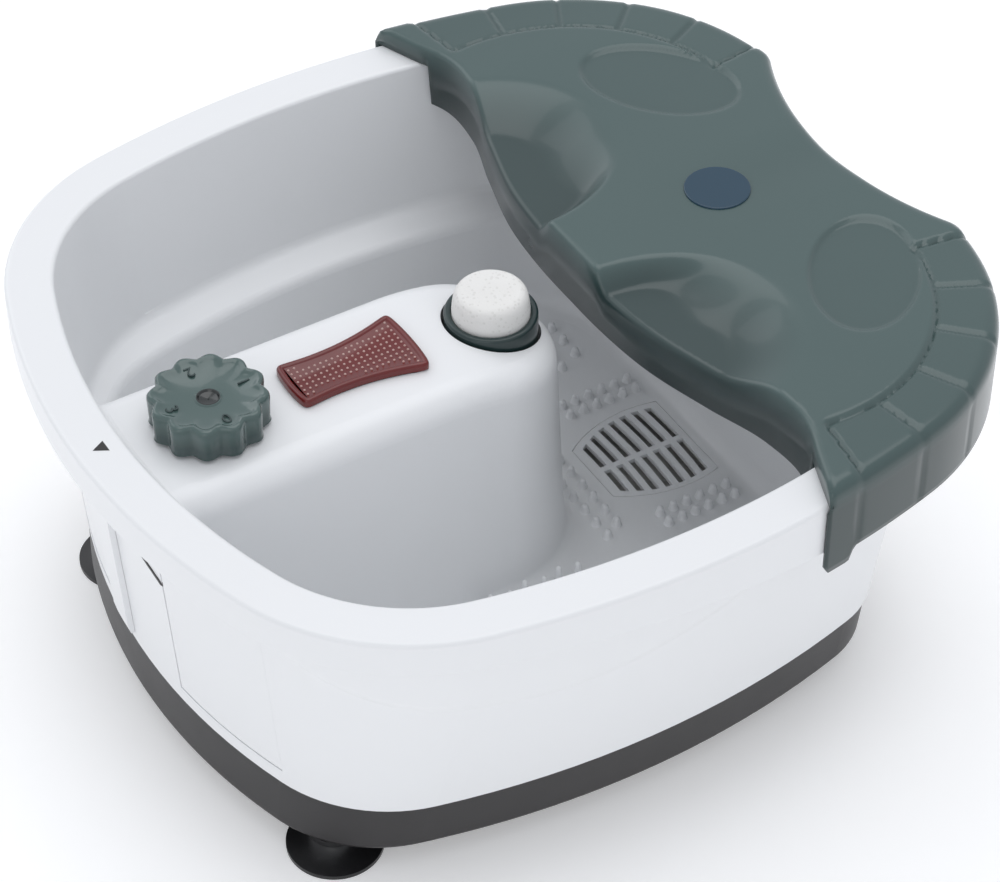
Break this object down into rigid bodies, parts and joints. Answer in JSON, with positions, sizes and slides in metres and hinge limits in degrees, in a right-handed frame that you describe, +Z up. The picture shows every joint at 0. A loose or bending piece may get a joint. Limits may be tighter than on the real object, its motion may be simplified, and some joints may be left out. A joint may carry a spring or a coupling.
{
  "type": "foot spa basin",
  "caption": "Electric foot spa basin with wide rim, hollow console with dial, infrared window and pumice stone, lift-off toe guard and suction feet.",
  "frame": {"origin": "on the surface the basin stands on, under the middle of its plan", "axes": "+Z up, +Y from the dial towards the toe guard, +X to the right"},
  "size_m": [0.4, 0.4233, 0.2],
  "materials": {
    "white_plastic": "gloss",
    "dark_plastic": "satin",
    "green_plastic": "gloss",
    "blue_plastic": "gloss",
    "red_plastic": "gloss",
    "black_rubber": "satin",
    "pumice": "matte",
    "nylon": "matte",
    "steel": "brushed",
    "aluminium": "rolled",
    "circuit_board": "matte",
    "lamp_glass": "gloss",
    "clear_hose": "satin",
    "wire_sleeve": "matte"
  },
  "bodies": {
    "basin": {"air_hose": "clear_hose", "base_gasket": "black_rubber", "base_screws": "steel", "base_tray": "dark_plastic", "blower_housing": "nylon", "blower_motor": "steel", "board_components": "nylon", "bubble_manifold": "nylon", "console_screws": "steel", "cord_gland": "black_rubber", "floor_grille": "white_plastic", "foot_studs": "steel", "front_panel_left": "white_plastic", "front_panel_right": "white_plastic", "heater_elements": "steel", "heater_plate_left": "aluminium", "heater_plate_right": "aluminium", "infrared_lamps": "lamp_glass", "infrared_lens": "red_plastic", "inner_tub": "white_plastic", "lamp_board": "circuit_board", "lens_gasket": "black_rubber", "massage_nubs": "white_plastic", "motor_bracket": "nylon", "motor_can": "steel", "motor_strap": "steel", "outer_shell": "white_plastic", "power_board": "circuit_board", "rotary_switch": "nylon", "shaft_seal": "black_rubber", "suction_foot_front_left": "black_rubber", "suction_foot_front_right": "black_rubber", "suction_foot_rear_left": "black_rubber", "suction_foot_rear_right": "black_rubber", "terminal_block": "nylon", "thermal_fuse": "nylon", "thermostat": "nylon", "wiring_loom": "wire_sleeve"},
    "guard": {"splash_guard": "green_plastic", "guard_tiles": "green_plastic", "guard_badge": "blue_plastic"},
    "attachment": {"attachment_socket": "green_plastic", "pumice_stone": "pumice"},
    "dial": {"control_knob": "green_plastic", "switch_shaft": "nylon"},
    "vibration_rotor": {"motor_shaft": "steel", "eccentric_weights": "steel"},
    "blower_rotor": {"blower_impeller": "nylon", "blower_shaft": "steel"}
  },
  "joints": [
    {"name": "guard_lift", "type": "slide", "parent": "basin", "child": "guard", "axis": [0, 0, 1], "range_m": [0, 0.09]},
    {"name": "attachment_lift", "type": "slide", "parent": "basin", "child": "attachment", "axis": [0, 0, 1], "range_m": [0, 0.06]},
    {"name": "dial_turn", "type": "hinge", "parent": "basin", "child": "dial", "pos_m": [0, -0.146, 0.187], "axis": [0, 0, 1], "range_deg": [0, 270]},
    {"name": "vibration_spin", "type": "hinge", "parent": "basin", "child": "vibration_rotor", "pos_m": [-0.02, -0.028, 0.0385], "axis": [0, 1, 0], "continuous": true},
    {"name": "blower_spin", "type": "hinge", "parent": "basin", "child": "blower_rotor", "pos_m": [0, -0.105, 0.03], "axis": [0, 0, 1], "continuous": true}
  ]
}
